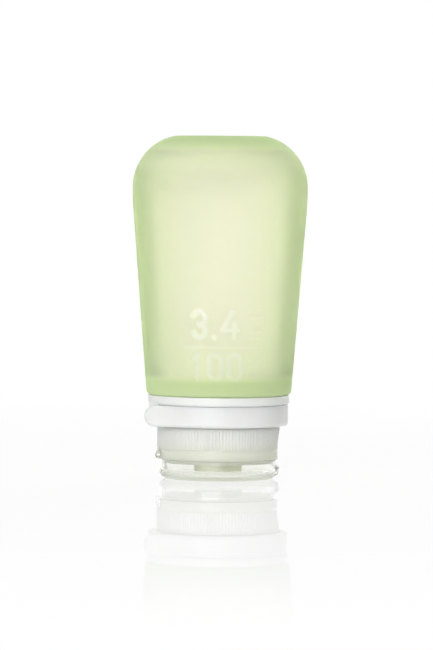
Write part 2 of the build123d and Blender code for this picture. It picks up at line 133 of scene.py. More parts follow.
@dataclass(frozen=True)
class Finish:
    """A moulded or turned surface: one Principled shader with grain, mottling and depth.

    Sizes and heights are millimetres. The real grain of a blasted mould or a drawn wire is
    about 0.05 mm, too fine to show here, so it is drawn several times as coarse.
    """

    name: str
    colour: str
    roughness: float
    ior: float = 1.5
    metallic: float = 0.0
    transmission: float = 0.0
    bleed: float = 0.0
    bleed_reach: float = 1.2
    grain: float = 0.3
    grain_depth: float = 0.01
    grain_strength: float = 0.35
    mottle: float = 6.0
    mottle_share: float = 0.1
    stretch: tuple[float, float, float] = (1.0, 1.0, 1.0)
    depth_colour: str = ""
    depth_density: float = 0.0
    mark_colour: str = ""
    mark_roughness: float = 0.3
    mark_transmission: float = 0.5
    deep_colour: str = "FFFFFF"
    deep_transmission: float = 0.3
    milky_colour: str = "FFFFFF"
    # Colour towards the bottom; on the collar it is painted light in the groove.
    foot_colour: str = ""
    foot_range: tuple[float, float] = (8.0, 9.5)
    foot_roughness: float = 0.0
    sheen: float = 0.0
    sheen_roughness: float = 0.4
    sheen_colour: str = "FFFFFF"

    def relief(self, tree: bpy.types.NodeTree, place: bpy.types.NodeSocket) -> bpy.types.NodeSocket:
        """Build the fine grain.

        Args:
            tree: The material's node tree.
            place: The Object coordinates.

        Returns:
            The normal.
        """
        spread = add_node(
            tree, "ShaderNodeMapping", inputs={"Scale": self.stretch}, links={"Vector": place}
        )
        # Drawn coarser than the real grain, which is too fine to show.
        fine = add_node(
            tree, "ShaderNodeTexNoise",
            inputs={"Scale": per_mm(self.grain), "Detail": 2.0, "Roughness": 0.6},
            links={"Vector": spread.outputs["Vector"]},
        )
        bump = add_node(
            tree, "ShaderNodeBump",
            inputs={"Strength": self.grain_strength, "Distance": self.grain_depth * MM},
            links={"Height": fine.outputs["Fac"]},
        )
        return bump.outputs["Normal"]

    def mottling(self, tree: bpy.types.NodeTree, place: bpy.types.NodeSocket) -> bpy.types.NodeSocket:
        """Build the roughness, which wanders a little over the surface.

        Args:
            tree: The material's node tree.
            place: The Object coordinates.

        Returns:
            The roughness.
        """
        wide = add_node(
            tree, "ShaderNodeTexNoise",
            inputs={"Scale": per_mm(self.mottle), "Detail": 3.0, "Roughness": 0.5},
            links={"Vector": place},
        )
        rough = add_node(
            tree, "ShaderNodeMapRange",
            inputs={
                "From Min": 0.3, "From Max": 0.7,
                "To Min": self.roughness * (1 - self.mottle_share),
                "To Max": self.roughness * (1 + self.mottle_share),
            },
            links={"Value": wide.outputs["Fac"]},
        )
        return rough.outputs["Result"]

    def shade_foot(
        self, tree: bpy.types.NodeTree, place: bpy.types.NodeSocket,
        shader: bpy.types.Node, rough: bpy.types.NodeSocket,
    ) -> bpy.types.NodeSocket:
        """Blend into the foot colour and roughness towards the bottom; on the collar that colour is painted
        light.

        Args:
            tree: The material's node tree.
            place: The Object coordinates.
            shader: The Principled shader, which gets the colour.
            rough: The roughness above the foot.

        Returns:
            The roughness all the way down.
        """
        low, high = self.foot_range
        height = add_node(tree, "ShaderNodeSeparateXYZ", links={"Vector": place})
        rise = add_node(
            tree, "ShaderNodeMapRange", inputs={"From Min": low * MM, "From Max": high * MM},
            links={"Value": height.outputs["Z"]},
        ).outputs["Result"]
        blend = add_node(
            tree, "ShaderNodeMix", {"data_type": "RGBA"},
            {FIRST_COLOUR: linear(self.foot_colour), SECOND_COLOUR: linear(self.colour)}, {FACTOR: rise},
        )
        tree.links.new(blend.outputs[MIXED_COLOUR], shader.inputs["Base Color"])
        if not self.foot_roughness:
            return rough
        matt = add_node(
            tree, "ShaderNodeMix", {"data_type": "FLOAT"}, {FIRST: self.foot_roughness},
            {FACTOR: rise, SECOND: rough},
        )
        return matt.outputs[MIXED]

    def shade_skin(
        self, tree: bpy.types.NodeTree, shader: bpy.types.Node, rough: bpy.types.NodeSocket
    ) -> bpy.types.NodeSocket:
        """Follow the piece's attributes: deeper solid ends, a milky skin near them that thins out at the
        sides as painted shade, paler marks.

        Args:
            tree: The material's node tree.
            shader: The Principled shader, which gets colour and transmission.
            rough: The roughness beside the marks.

        Returns:
            The roughness with the glossier marks.
        """
        solid, milky, mark = (
            add_node(tree, "ShaderNodeAttribute", {"attribute_name": name}).outputs["Fac"]
            for name in ("solid", "milky", "polished")
        )
        through: dict[int, bpy.types.NodeSocket] = {}
        tint: dict[int, bpy.types.NodeSocket] = {}
        for share, transmission, colour in (
            (solid, self.deep_transmission, self.deep_colour),
            (milky, self.deep_transmission, self.milky_colour),
            (mark, self.mark_transmission, self.mark_colour),
        ):
            clear = add_node(
                tree, "ShaderNodeMix", {"data_type": "FLOAT"},
                {FIRST: self.transmission, SECOND: transmission}, {FACTOR: share} | through,
            )
            through = {FIRST: clear.outputs[MIXED]}
            blend = add_node(
                tree, "ShaderNodeMix", {"data_type": "RGBA"},
                {FIRST_COLOUR: linear(self.colour), SECOND_COLOUR: linear(colour)}, {FACTOR: share} | tint,
            )
            tint = {FIRST_COLOUR: blend.outputs[MIXED_COLOUR]}
        tree.links.new(through[FIRST], shader.inputs["Transmission Weight"])
        tree.links.new(tint[FIRST_COLOUR], shader.inputs["Base Color"])
        gloss = add_node(
            tree, "ShaderNodeMix", {"data_type": "FLOAT"}, {SECOND: self.mark_roughness},
            {FACTOR: mark, FIRST: rough},
        )
        return gloss.outputs[MIXED]

    def make(self) -> bpy.types.Material:
        """Build the material once and hand out the same one after that.

        Returns:
            The material.
        """
        ready = bpy.data.materials.get(self.name)
        if ready:
            return ready
        material = bpy.data.materials.new(self.name)
        material.use_nodes = True
        tree = material.node_tree
        tree.nodes.clear()
        place = add_node(tree, "ShaderNodeTexCoord").outputs["Object"]
        shader = add_node(
            tree, "ShaderNodeBsdfPrincipled",
            inputs={
                "Base Color": linear(self.colour), "Metallic": self.metallic, "IOR": self.ior,
                "Transmission Weight": self.transmission, "Subsurface Weight": self.bleed,
                "Subsurface Radius": (1.0, 1.0, 0.9), "Subsurface Scale": self.bleed_reach * MM,
                "Sheen Weight": self.sheen, "Sheen Roughness": self.sheen_roughness,
                "Sheen Tint": linear(self.sheen_colour),
            },
            links={"Normal": self.relief(tree, place)},
        )
        rough = self.mottling(tree, place)
        if self.foot_colour:
            rough = self.shade_foot(tree, place, shader, rough)
        if self.mark_colour:
            rough = self.shade_skin(tree, shader, rough)
        tree.links.new(rough, shader.inputs["Roughness"])
        links = {"Surface": shader.outputs["BSDF"]}
        if self.depth_colour:
            depth = add_node(
                tree, "ShaderNodeVolumeAbsorption",
                inputs={"Color": linear(self.depth_colour), "Density": self.depth_density},
            )
            links["Volume"] = depth.outputs["Volume"]
        add_node(tree, "ShaderNodeOutputMaterial", links=links)
        return material


# Translucent silicone rubber, compression moulded in a blasted mould: light comes through
# it softly, and it is greener wherever the eye looks through more of it.
SILICONE = Finish(
    "moulded silicone rubber, green", "F8F4EE", 0.8, ior=1.17, transmission=0.87,
    grain=0.25, grain_depth=0.012, mottle=9.0, depth_colour="D4DAB8", depth_density=50.0,
    bleed=1.0, bleed_reach=3.0, mark_colour="FFFFF6", mark_roughness=0.3, mark_transmission=0.48,
    deep_colour="CFDDAE", deep_transmission=0.1, milky_colour="FAFBD6",
    sheen=1.0, sheen_roughness=0.7, sheen_colour="A6C47C",
)
# Natural silicone rubber without pigment: milky and soft at the edges.
SOFT_SILICONE = Finish(
    "moulded silicone rubber, natural", "EEF1EA", 0.38, ior=1.41, transmission=0.75,
    grain=0.25, mottle=5.0, depth_colour="D8DECB", depth_density=60.0,
)
# Natural polypropylene, injection moulded with a frosted skin: light grey-green haze.
FROSTED = Finish(
    "injection moulded polypropylene, frosted", "EEEFE9", 0.34, ior=1.49, transmission=0.1,
    bleed=1.0, bleed_reach=3.5, grain=0.3, grain_depth=0.015, mottle=5.0,
    depth_colour="B9CE8E", depth_density=30.0,
    foot_colour="E6EAD4", foot_range=(6.0, 12.0),
)
# White polypropylene, injection moulded in a lightly blasted mould: opaque, satin.
WHITE = Finish(
    "injection moulded polypropylene, white", "F1F2F0", 0.36, ior=1.49,
    grain=0.35, grain_depth=0.012, mottle=7.0, bleed=1.0, bleed_reach=3.5,
)
# The collar's white: a touch greyer than the loop's, with a shorter bleed of light under its skin. Below
# the flange's underside, the groove and the web under it included, it turns pure white: painted light that
# lifts the shade in the groove.
COLLAR_WHITE = Finish(
    "injection moulded polypropylene, white, thin walled", "EEEFED", 0.36, ior=1.49,
    grain=0.35, grain_depth=0.012, mottle=7.0, bleed=1.0, bleed_reach=1.5,
    # Painted light: pure white below the flange's underside, against the groove's shade.
    foot_colour="FFFFFF", foot_range=(22.9, 23.2),
)
# Clarified polypropylene, moulded in a polished mould: clear, with a faint green depth.
CLEAR = Finish(
    "injection moulded polypropylene, clear", "FFFFFE", 0.1, ior=1.49, transmission=1.0,
    grain=4.0, grain_depth=0.001, mottle=8.0, mottle_share=0.3, depth_colour="C4D09C", depth_density=38.0,
    foot_colour="FBFCF2", foot_range=(1.2, 1.9), foot_roughness=0.4,
)
# Stainless steel wire, drawn and cut: grey, with fine marks along the wire.
STEEL = Finish(
    "drawn stainless steel wire", "C3C3C6", 0.28, metallic=1.0,
    grain=0.12, grain_depth=0.01, mottle=1.5, stretch=(1.0, 1.0, 0.05),
)


def arc(centre: Point, radius: float, start: float, sweep: float, steps: int) -> list[Point]:
    """List points on an arc.

    Args:
        centre: Its centre.
        radius: Its radius.
        start: Angle of its first point, in degrees.
        sweep: Angle to its last point, in degrees.
        steps: How many pieces it is cut into.

    Returns:
        steps + 1 points.
    """
    angles = [math.radians(start + sweep * i / steps) for i in range(steps + 1)]
    return [(centre[0] + radius * math.cos(a), centre[1] + radius * math.sin(a)) for a in angles]


def run(start: Point, end: Point, step: float) -> list[Point]:
    """List points on a straight run, at most `step` apart, both ends included."""
    count = max(1, math.ceil(math.dist(start, end) / step))
    return [
        (start[0] + (end[0] - start[0]) * i / count, start[1] + (end[1] - start[1]) * i / count)
        for i in range(count + 1)
    ]


def rounded(before: Point, corner: Point, after: Point, radius: float, steps: int = 8) -> list[Point]:
    """Round one corner of an outline.

    Args:
        before: A point on the run that comes in.
        corner: The sharp corner.
        after: A point on the run that goes out.
        radius: The radius of the round.
        steps: How many pieces the round is cut into.

    Returns:
        The points of the round, from its first to its last.
    """
    c = Vector(corner)
    a = (Vector(before) - c).normalized()
    b = (Vector(after) - c).normalized()
    half = a.angle(b) / 2
    centre = c + (a + b).normalized() * (radius / math.sin(half))
    first = c + a * (radius / math.tan(half)) - centre
    last = c + b * (radius / math.tan(half)) - centre
    sweep = math.atan2(first.x * last.y - first.y * last.x, first.dot(last))
    start = math.atan2(first.y, first.x)
    return arc(tuple(centre), radius, math.degrees(start), math.degrees(sweep), steps)


def mesh_piece(
    name: str, vertices: Sequence[Sequence[float]], faces: Sequence[Sequence[int]], sharp_from: float = 38.0
) -> bpy.types.Object:
    """Make an object from millimetre points, with doubles merged and faces turned outwards.

    Args:
        name: The piece's name.
        vertices: Points in millimetres.
        faces: Point numbers of each face.
        sharp_from: Edges that turn by more than this many degrees stay sharp.

    Returns:
        The object, smooth shaded and linked to the scene.
    """
    mesh = bpy.data.meshes.new(name)
    mesh.from_pydata([tuple(c * MM for c in v) for v in vertices], [], faces)
    work = bmesh.new()
    work.from_mesh(mesh)
    bmesh.ops.remove_doubles(work, verts=work.verts, dist=MERGE_DISTANCE)
    bmesh.ops.recalc_face_normals(work, faces=work.faces)
    work.to_mesh(mesh)
    work.free()
    mesh.shade_smooth()
    mesh.set_sharp_from_angle(angle=math.radians(sharp_from))
    piece = bpy.data.objects.new(name, mesh)
    bpy.context.scene.collection.objects.link(piece)
    return piece


def turned(outline: Sequence[Point], angles: Sequence[float]) -> tuple[list[tuple], list[tuple]]:
    """Turn a closed outline about the axis.

    Args:
        outline: Radius and height of each point. A point on the axis becomes a pole.
        angles: The columns' angles in radians, once round.

    Returns:
        Vertices in millimetres and faces. Points on the axis repeat, to be merged.
    """
    columns = len(angles)
    vertices = [(r * math.cos(a), r * math.sin(a), z) for r, z in outline for a in angles]
    faces = []
    for i in range(len(outline) - 1):
        for j in range(columns):
            k = (j + 1) % columns
            quad = (i * columns + j, i * columns + k, (i + 1) * columns + k, (i + 1) * columns + j)
            if outline[i][0] < TINY:
                quad = quad[1:]
            elif outline[i + 1][0] < TINY:
                quad = quad[:3]
            faces.append(quad)
    return vertices, faces


def ring_of(count: int) -> list[float]:
    """List evenly spaced angles once round."""
    return [2 * math.pi * i / count for i in range(count)]


def dress(piece: bpy.types.Object, finish: Finish, body: Body, slot: Slot, *nodes: str) -> None:
    """Give a new piece its finish, its body and the CAD nodes it stands for.

    Args:
        piece: The piece.
        finish: Its finish.
        body: The body it rides on.
        slot: The record's slot its finish belongs to; not used.
        nodes: CAD nodes that it replaces.
    """
    piece.data.materials.clear()
    piece.data.materials.append(finish.make())
    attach(piece, body.value)
    if nodes:
        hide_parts(*nodes)
    log.info("%s: %d faces, rides on %s", piece.name, len(piece.data.polygons), body.value)


def refinish(node: str, finish: Finish) -> None:
    """Put a finish on a CAD node whose shape is already right.

    Args:
        node: The node's name.
        finish: Its finish.
    """
    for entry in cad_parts[node].material_slots:
        entry.material = finish.make()
    log.info("%s: keeps its CAD shape, %s", node, finish.name)


@dataclass
class Stroke:
    """A line of a mark on the silicone, in millimetres round the skin and up."""

    points: list[Point]
    width: float = 1.5
    rise: float = 1.0

    def distance(self, across: float, up: float) -> float:
        """Give how far a point is outside the stroke's edge, negative inside it.

        Args:
            across: The point's distance round the skin from the front.
            up: Its height.

        Returns:
            The distance.
        """
        best = math.inf
        for (x0, y0), (x1, y1) in zip(self.points, self.points[1:]):
            dx, dy = x1 - x0, y1 - y0
            long = dx * dx + dy * dy
            t = 0.0 if long == 0 else max(0.0, min(1.0, ((across - x0) * dx + (up - y0) * dy) / long))
            best = min(best, math.hypot(across - x0 - t * dx, up - y0 - t * dy))
        return best - self.width / 2


@dataclass
class CapacityMarks:
    """Plain numerals over and under a bar, and plain graduation ticks, raised on the skin.

    Places are millimetres round the skin from the front, and heights.
    """

    top_low: float = 42.8
    top_high: float = 51.8
    bottom_low: float = 30.1
    bottom_high: float = 39.0
    width: float = 1.45
    thin_width: float = 0.6
    bar_rise: float = 0.6
    tick_rise: float = 0.45
    bowl_sweep: float = 255.0
    bowl_steps: int = 20
    loop_steps: int = 12
    raised: float = 0.28
    edge: float = 0.36
    three_at: float = -5.9
    dot_at: float = -1.25
    four: tuple[float, float, float, float] = (1.15, 3.9, 4.6, 5.55)
    four_bar_rise: float = 2.0
    four_stem_rise: float = 3.9
    one: Point = (-7.9, -6.7)
    one_flag_drop: float = 1.1
    zeros: Point = (-2.95, 2.95)
    zero_width: float = 3.75
    bottom_rise: float = 0.7
    bar: Point = (-10.9, 12.0)
    bar_height: float = 40.45
    tick: Point = (9.6, 13.0)
    tick_heights: tuple[float, ...] = (43.2, 45.3, 47.4, 49.5, 51.6, 32.4, 34.5, 36.6)

    def top_row(self) -> list[Stroke]:
        """List the strokes of the numerals 3.4.

        Returns:
            The strokes.
        """
        low, high = self.top_low + self.width / 2, self.top_high - self.width / 2
        bowl = (high - low) / 4
        three = [
            point
            for middle, start in ((high - bowl, self.bowl_sweep - 90), (low + bowl, 90))
            for point in arc((self.three_at, middle), bowl, start, -self.bowl_sweep, self.bowl_steps)
        ]
        left, peak, stem, right = self.four
        bar = low + self.four_bar_rise
        return [
            Stroke(three, self.width),
            Stroke([(self.dot_at, low), (self.dot_at, low)], self.width),
            Stroke([(peak, high), (left, bar), (right, bar)], self.width),
            Stroke([(stem, low + self.four_stem_rise), (stem, low)], self.width),
        ]

    def bottom_row(self) -> list[Stroke]:
        """List the strokes of the numerals 100.

        Returns:
            The strokes.
        """
        low, high = self.bottom_low + self.width / 2, self.bottom_high - self.width / 2
        flag, stem = self.one
        one = [(flag, high - self.one_flag_drop), (stem, high), (stem, low)]
        marks = [Stroke(one, self.width, self.bottom_rise)]
        turn = self.zero_width / 2
        for left in self.zeros:
            loop = arc((left + turn, high - turn), turn, 180, -180, self.loop_steps)
            loop += arc((left + turn, low + turn), turn, 0, -180, self.loop_steps)
            marks.append(Stroke(loop + loop[:1], self.width, self.bottom_rise))
        return marks

    def strokes(self) -> list[Stroke]:
        """List the strokes of all the marks.

        Returns:
            The strokes.
        """
        lines = [Stroke([(x, self.bar_height) for x in self.bar], self.thin_width, self.bar_rise)]
        for height in self.tick_heights:
            lines.append(Stroke([(x, height) for x in self.tick], self.thin_width, self.tick_rise))
        return self.top_row() + self.bottom_row() + lines

    def field(self, columns: Sequence[float], levels: Sequence[float]) -> dict[tuple[int, int], float]:
        """Work out how far each grid point stands proud, as a share of the full height.

        Args:
            columns: Distances round the skin from the front.
            levels: Heights.

        Returns:
            Shares above zero, by column and level number.
        """
        shares: dict[tuple[int, int], float] = {}
        for stroke in self.strokes():
            reach = stroke.width / 2 + self.edge
            xs = [p[0] for p in stroke.points]
            ys = [p[1] for p in stroke.points]
            for i, across in enumerate(columns):
                if not min(xs) - reach < across < max(xs) + reach:
                    continue
                for j, up in enumerate(levels):
                    if not min(ys) - reach < up < max(ys) + reach:
                        continue
                    t = max(0.0, min(1.0, 0.5 - stroke.distance(across, up) / (2 * self.edge)))
                    share = stroke.rise * t * t * (3 - 2 * t)
                    if share > shares.get((i, j), 0.0):
                        shares[(i, j)] = share
        return shares


@dataclass(frozen=True)
class MilkyZone:
    """A band of skin, between heights in millimetres, that is milkier than the rest.

    At the sides only side_share of it is left, so the sides stay darker green: painted shade.
    """

    low: float
    full_low: float
    full_high: float
    high: float
    share: float
    side_share: float

    def at(self, height: float, front: float) -> float:
        """Give how milky the zone makes the skin.

        Args:
            height: Where on the skin, in millimetres.
            front: 1 at the front and back, 0 at the sides.

        Returns:
            From 0 to the zone's share.
        """
        up = (height - self.low) / (self.full_low - self.low)
        down = (self.high - height) / (self.high - self.full_high)
        t = max(0.0, min(1.0, up, down))
        return self.share * t * t * (3 - 2 * t) * (self.side_share + (1 - self.side_share) * front)


@dataclass
class SiliconeBulb:
    """The soft body: a tapered bulb with a flat base and a neck sleeve inside the collar."""

    base_z: float = 103.3
    joint_z: float = 25.3
    max_radius: float = 26.4
    wall: float = 2.7
    base_thickness: float = 3.4
    flat_past_crown: float = 3.1
    crown_radius: float = 15.8
    blend_radius: float = 105.0
    taper: float = 4.5
    foot_corner: float = 1.5
    shoulder_thickness: float = 4.2
    shoulder_corner: float = 2.49
    neck_edge: float = 1.17
    sleeve_radius: float = 13.55
    neck_bore: float = 12.1
    sleeve_end: float = 9.05
    bead: tuple[float, float, float] = (18.2, 21.2, 1.0)
    shoulder_fade: float = 32.8
    base_fade: float = 98.2
    # Paler, less clear skin where the walls run into the solid ends. The low band keeps only 0.12 of it at
    # the sides, which stay darker green: painted shade.
    milky_zones: tuple[MilkyZone, ...] = (
        MilkyZone(28.8, 32.0, 35.0, 46.0, 0.55, 0.12),
        MilkyZone(88.0, 96.5, 98.6, 102.4, 0.55, 1.0),
    )
    mark_low: float = 29.0
    mark_high: float = 52.8
    mark_shade_over_solid: float = 0.9
    fine: float = 0.25
    pole_ring: float = 2.0
    flat_ring_inset: float = 1.0
    outer_step: float = 3.0
    seat_ring: float = 16.5
    bead_slope: float = 30.0
    neck_step: float = 5.0
    cavity_step: float = 4.0
    marks_from: float = -32.0
    marks_span: float = 70.0
    marks_radius: float = 22.6
    far_columns: int = 90
    crown_steps: int = 30
    cavity_crown_steps: int = 18
    flank_steps: int = 8
    foot_steps: int = 12
    edge_steps: int = 6
    shoulder_steps: int = 8
    marks: CapacityMarks = field(default_factory=CapacityMarks)

    def crown_centre(self) -> Point:
        """Give the centre of the crown's arc."""
        rise = math.sqrt(self.crown_radius**2 - self.flat_past_crown**2)
        return (self.max_radius - self.crown_radius, self.base_z - rise)

    def side(self, inset: float, height: float) -> float:
        """Give the radius of the tapered side.

        Args:
            inset: How far inside the skin.
            height: Where on the side.

        Returns:
            The radius.
        """
        reach = self.blend_radius - inset
        a = math.radians(self.taper)
        start_x = self.max_radius - self.blend_radius + reach * math.cos(a)
        start_z = self.crown_centre()[1] - reach * math.sin(a)
        return start_x - (start_z - height) * math.tan(a)

    def crown(self, inset: float, flat_z: float, steps: int) -> list[Point]:
        """List the crown's points from the flat down to the widest ring.

        Args:
            inset: How far inside the skin.
            flat_z: The height of the flat.
            steps: How many pieces it is cut into.

        Returns:
            The points.
        """
        cx, cz = self.crown_centre()
        rise = math.degrees(math.asin((flat_z - cz) / (self.crown_radius - inset)))
        return arc((cx, cz), self.crown_radius - inset, rise, -rise, steps)

    def flank(self, inset: float) -> list[Point]:
        """List the points of the blend between the crown and the tapered side."""
        centre = (self.max_radius - self.blend_radius, self.crown_centre()[1])
        return arc(centre, self.blend_radius - inset, 0, -self.taper, self.flank_steps)

    def outside(self) -> tuple[list[Point], int, int]:
        """List the skin's points, from the middle of the base down to the foot's corner.

        Returns:
            The points, and the numbers of the first and last ring that marks may cover.
        """
        crown = self.crown(0, self.base_z, self.crown_steps)
        flat_end = (crown[0][0] - self.flat_ring_inset, self.base_z)
        points = [(0.0, self.base_z)] + run((self.pole_ring, self.base_z), flat_end, self.outer_step)
        points += crown + self.flank(0)[1:]
        points += run(points[-1], (self.side(0, self.mark_high), self.mark_high), self.outer_step)[1:]
        first = len(points) - 1
        low = (self.side(0, self.mark_low), self.mark_low)
        points += run(points[-1], low, self.fine)[1:]
        last = len(points) - 1
        foot = (self.side(0, self.joint_z), self.joint_z)
        points += rounded(low, foot, (0.0, self.joint_z), self.foot_corner, self.foot_steps)
        return points, first, last

    def sleeve(self) -> list[Point]:
        """List the points of the seat on the collar, the bead and the neck sleeve.

        Returns:
            The points, down to the sleeve's end.
        """
        low, high, out = self.bead
        slope = out * math.tan(math.radians(self.bead_slope))
        radius = self.sleeve_radius
        return [
            (self.seat_ring, self.joint_z), (radius, self.joint_z), (radius, high),
            (radius + out, high - slope), (radius + out, low + slope), (radius, low),
            (radius, self.sleeve_end), (self.neck_bore, self.sleeve_end),
        ]

    def cavity(self) -> list[Point]:
        """List the inside's points, from above the sleeve's end up to the middle of the base.

        Returns:
            The points.
        """
        low = self.joint_z + self.shoulder_thickness
        top = self.base_z - self.base_thickness
        end = (self.neck_bore, self.sleeve_end)
        edge = (self.neck_bore, low)
        corner = (self.side(self.wall, low), low)
        above = low + self.neck_step
        up = (self.side(self.wall, above), above)
        points = run(end, (self.neck_bore, low - self.neck_edge), self.neck_step)[1:-1]
        points += rounded(end, edge, corner, self.neck_edge, self.edge_steps)
        points += rounded(edge, corner, up, self.shoulder_corner, self.shoulder_steps)
        flank = self.flank(self.wall)[::-1]
        points += run(points[-1], flank[0], self.cavity_step)[1:] + flank[1:]
        crown = self.crown(self.wall, top, self.cavity_crown_steps)[::-1]
        points += crown[1:] + run(crown[-1], (self.pole_ring, top), self.cavity_step)[1:]
        return points + [(0.0, top)]

    def columns(self) -> tuple[list[float], list[float]]:
        """List the columns' angles, close together at the front.

        Returns:
            The angles in radians, and for each its distance from the front in degrees.
        """
        step = math.degrees(self.fine / self.marks_radius)
        near = [self.marks_from + step * i for i in range(int(self.marks_span / step) + 1)]
        rest = 360 - self.marks_span
        far = [near[-1] + rest * i / self.far_columns for i in range(1, self.far_columns)]
        degrees = near + far
        return [math.radians(d - 90) for d in degrees], degrees

    def solid_share(self, height: float) -> float:
        """Give how much of the view is solid silicone.

        Args:
            height: Where on the skin, in millimetres.

        Returns:
            A share from 0 to 1.
        """
        low = self.joint_z + self.shoulder_thickness
        top = self.base_z - self.base_thickness
        foot = (self.shoulder_fade - height) / (self.shoulder_fade - low)
        base = (height - self.base_fade) / (top - self.base_fade)
        t = max(0.0, min(1.0, max(foot, base)))
        return t * t * (3 - 2 * t)

    def milky_share_and_side_shade(self, height: float, front: float) -> float:
        """Give how milky the skin is, most where the walls run into the solid ends and less at the sides,
        whose darker green is painted shade.
        """
        return max(zone.at(height, front) for zone in self.milky_zones)

    def raise_marks(
        self, vertices: list[tuple], degrees: Sequence[float], first: int, levels: Sequence[float]
    ) -> dict[int, float]:
        """Lift the skin where the marks are.

        Args:
            vertices: The turned points, which this changes.
            degrees: The columns' distances from the front.
            first: The number of the first ring that marks may cover.
            levels: The heights of those rings.

        Returns:
            How far each lifted point stands proud, as a share of the full height.
        """
        middle = self.side(0, (self.mark_low + self.mark_high) / 2)
        marks_end = self.marks_from + self.marks_span
        across = [math.radians(d) * middle if d <= marks_end else math.inf for d in degrees]
        lifted: dict[int, float] = {}
        for (column, level), share in self.marks.field(across, levels).items():
            i = (first + level) * len(degrees) + column
            x, y, z = vertices[i]
            r = math.hypot(x, y)
            grow = (r + share * self.marks.raised) / r
            vertices[i] = (x * grow, y * grow, z)
            lifted[i] = share
        return lifted

    def paint(self, piece: bpy.types.Object, vertices: list[tuple], lifted: dict[int, float]) -> None:
        """Write the attributes that the silicone's finish follows.

        Args:
            piece: The bulb.
            vertices: Its points in millimetres, before doubles were merged.
            lifted: How far each lifted point stands proud.
        """
        polished = piece.data.attributes.new("polished", "FLOAT", "POINT")
        solid = piece.data.attributes.new("solid", "FLOAT", "POINT")
        milky = piece.data.attributes.new("milky", "FLOAT", "POINT")
        known = {rounded_place(vertices[i]): share for i, share in lifted.items()}
        for i, v in enumerate(piece.data.vertices):
            depth = self.solid_share(v.co.z / MM)
            mark = known.get(rounded_place(c / MM for c in v.co), 0.0)
            # Over the solid ends the marks lose most of their paler fill, so their lower ends look darker:
            # painted shade.
            polished.data[i].value = mark * (1 - self.mark_shade_over_solid * depth)
            solid.data[i].value = depth
            # Less milky towards the sides, which leaves them darker: painted shade.
            outside = v.normal.x * v.co.x + v.normal.y * v.co.y > 0
            front = v.co.y**2 / max(v.co.x**2 + v.co.y**2, TINY)
            milky.data[i].value = self.milky_share_and_side_shade(v.co.z / MM, front) if outside else 0.0

    def build(self) -> bpy.types.Object:
        """Make the bulb with its raised marks.

        Returns:
            The piece.
        """
        skin, first, last = self.outside()
        angles, degrees = self.columns()
        vertices, faces = turned(skin + self.sleeve() + self.cavity(), angles)
        lifted = self.raise_marks(vertices, degrees, first, [z for _, z in skin[first:last + 1]])
        piece = mesh_piece("silicone_bulb", vertices, faces)
        self.paint(piece, vertices, lifted)
        dress(piece, SILICONE, Body.BOTTLE, Slot.GREEN_SILICONE, "silicone_body")
        return piece


